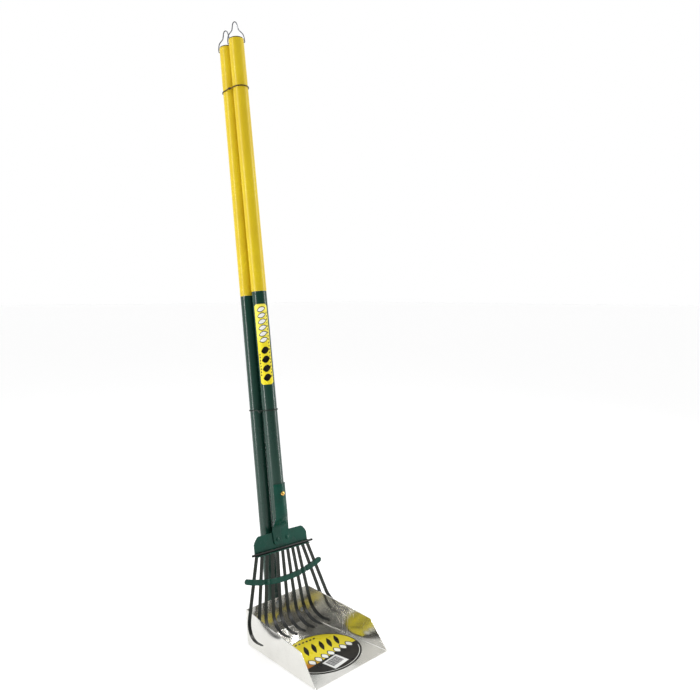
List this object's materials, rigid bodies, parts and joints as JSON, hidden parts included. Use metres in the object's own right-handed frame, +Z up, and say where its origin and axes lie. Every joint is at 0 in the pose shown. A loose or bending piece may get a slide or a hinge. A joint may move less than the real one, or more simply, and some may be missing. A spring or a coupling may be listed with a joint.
{
  "type": "rake and pan set",
  "caption": "Long-handled sheet-metal scoop pan and a fan-tined hand rake, each with a tube handle and a wire hanger, standing together and tied with twisted wire.",
  "frame": {"origin": "middle of the underside of the pan's floor, on the surface it stands on", "axes": "+Z up; the pan's open front edge faces -Y; +X is to the right for someone facing +Y; the handles rise along +Z and lean towards +Y"},
  "size_m": [0.1724, 0.2838, 0.9219],
  "materials": {
    "sheet_aluminium": "bright mill finish, lightly brushed",
    "zinc_steel": "zinc plated",
    "black_plastic": "moulded",
    "green_vinyl": "glossy shrunk vinyl sleeve",
    "yellow_vinyl": "glossy shrunk vinyl sleeve",
    "plug_plastic": "moulded",
    "hanger_wire": "drawn wire",
    "label_film": "printed vinyl film",
    "brown_tie": "annealed wire, coated",
    "green_tie": "annealed wire, coated",
    "green_paint": "gloss enamel",
    "brass_screw": "plated",
    "black_paint": "satin enamel",
    "tine_paint": "satin enamel on spring steel"
  },
  "bodies": {
    "pan_tool": {"pan_sheet": "sheet_aluminium", "pan_rivet_left": "zinc_steel", "pan_rivet_right": "zinc_steel", "pan_saddle_lower": "black_plastic", "pan_saddle_upper": "black_plastic", "pan_bolt_lower": "zinc_steel", "pan_bolt_upper": "zinc_steel", "pan_nut_lower": "zinc_steel", "pan_nut_upper": "zinc_steel", "pan_handle_core": "zinc_steel", "pan_lower_sleeve": "green_vinyl", "pan_grip_sleeve": "yellow_vinyl", "pan_end_plug": "plug_plastic", "pan_foot_plug": "black_plastic", "pan_label": "label_film", "upper_tie": "brown_tie", "lower_tie": "green_tie"},
    "rake_tool": {"rake_handle_core": "zinc_steel", "rake_lower_sleeve": "green_vinyl", "rake_grip_sleeve": "yellow_vinyl", "rake_end_plug": "plug_plastic", "handle_label": "label_film", "rake_socket": "green_paint", "socket_screw": "brass_screw", "head_plate": "green_paint", "head_rivet_left": "green_paint", "head_rivet_right": "green_paint", "cross_rod": "black_paint", "tine_01": "tine_paint", "tine_02": "tine_paint", "tine_03": "tine_paint", "tine_04": "tine_paint", "tine_05": "tine_paint", "tine_06": "tine_paint", "tine_07": "tine_paint", "tine_08": "tine_paint", "tine_09": "tine_paint", "tine_10": "tine_paint", "tine_11": "tine_paint", "brace_front": "green_paint", "brace_back": "green_paint", "brace_rivet_left": "green_paint", "brace_rivet_right": "green_paint"},
    "pan_hanger_wire": {"pan_hanger": "hanger_wire"},
    "rake_hanger_wire": {"rake_hanger": "hanger_wire"}
  },
  "joints": [
    {"name": "rake_slide", "type": "slide", "parent": "pan_tool", "child": "rake_tool", "axis": [-0.0057, 0.1222, 0.9925], "range_m": [-0.003, 0.105]},
    {"name": "pan_hanger_swing", "type": "hinge", "parent": "pan_tool", "child": "pan_hanger_wire", "pos_m": [0, 0.19443, 0.88133], "axis": [0.7071, -0.7022, 0.0832], "range_deg": [-125, 12]},
    {"name": "rake_hanger_swing", "type": "hinge", "parent": "rake_tool", "child": "rake_hanger_wire", "pos_m": [0.00044, 0.17126, 0.88878], "axis": [0.7066, -0.7018, 0.0904], "range_deg": [-12, 125]}
  ]
}
